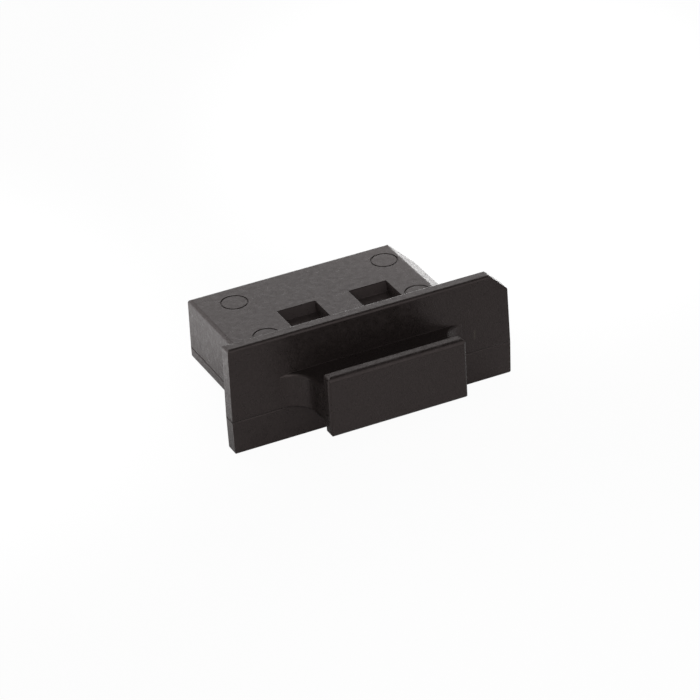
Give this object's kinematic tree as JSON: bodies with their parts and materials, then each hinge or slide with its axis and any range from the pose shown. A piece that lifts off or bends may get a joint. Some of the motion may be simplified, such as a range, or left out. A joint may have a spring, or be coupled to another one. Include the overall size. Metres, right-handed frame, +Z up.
{
  "type": "transceiver dust plug",
  "caption": "Push-in dust plug for a rectangular chassis port: a solid keyed body, a cover flange and a waisted finger grip.",
  "frame": {"origin": "on the back face of the flange, which seats on the port's rim, at the middle of the port body", "axes": "+Y into the port, +Z up, +X along the flange towards the chamfered corner"},
  "size_m": [0.024, 0.0169, 0.0092],
  "materials": {
    "black_plastic": "satin moulded with a fine grain"
  },
  "bodies": {
    "root": {"plug": "black_plastic"}
  },
  "joints": []
}
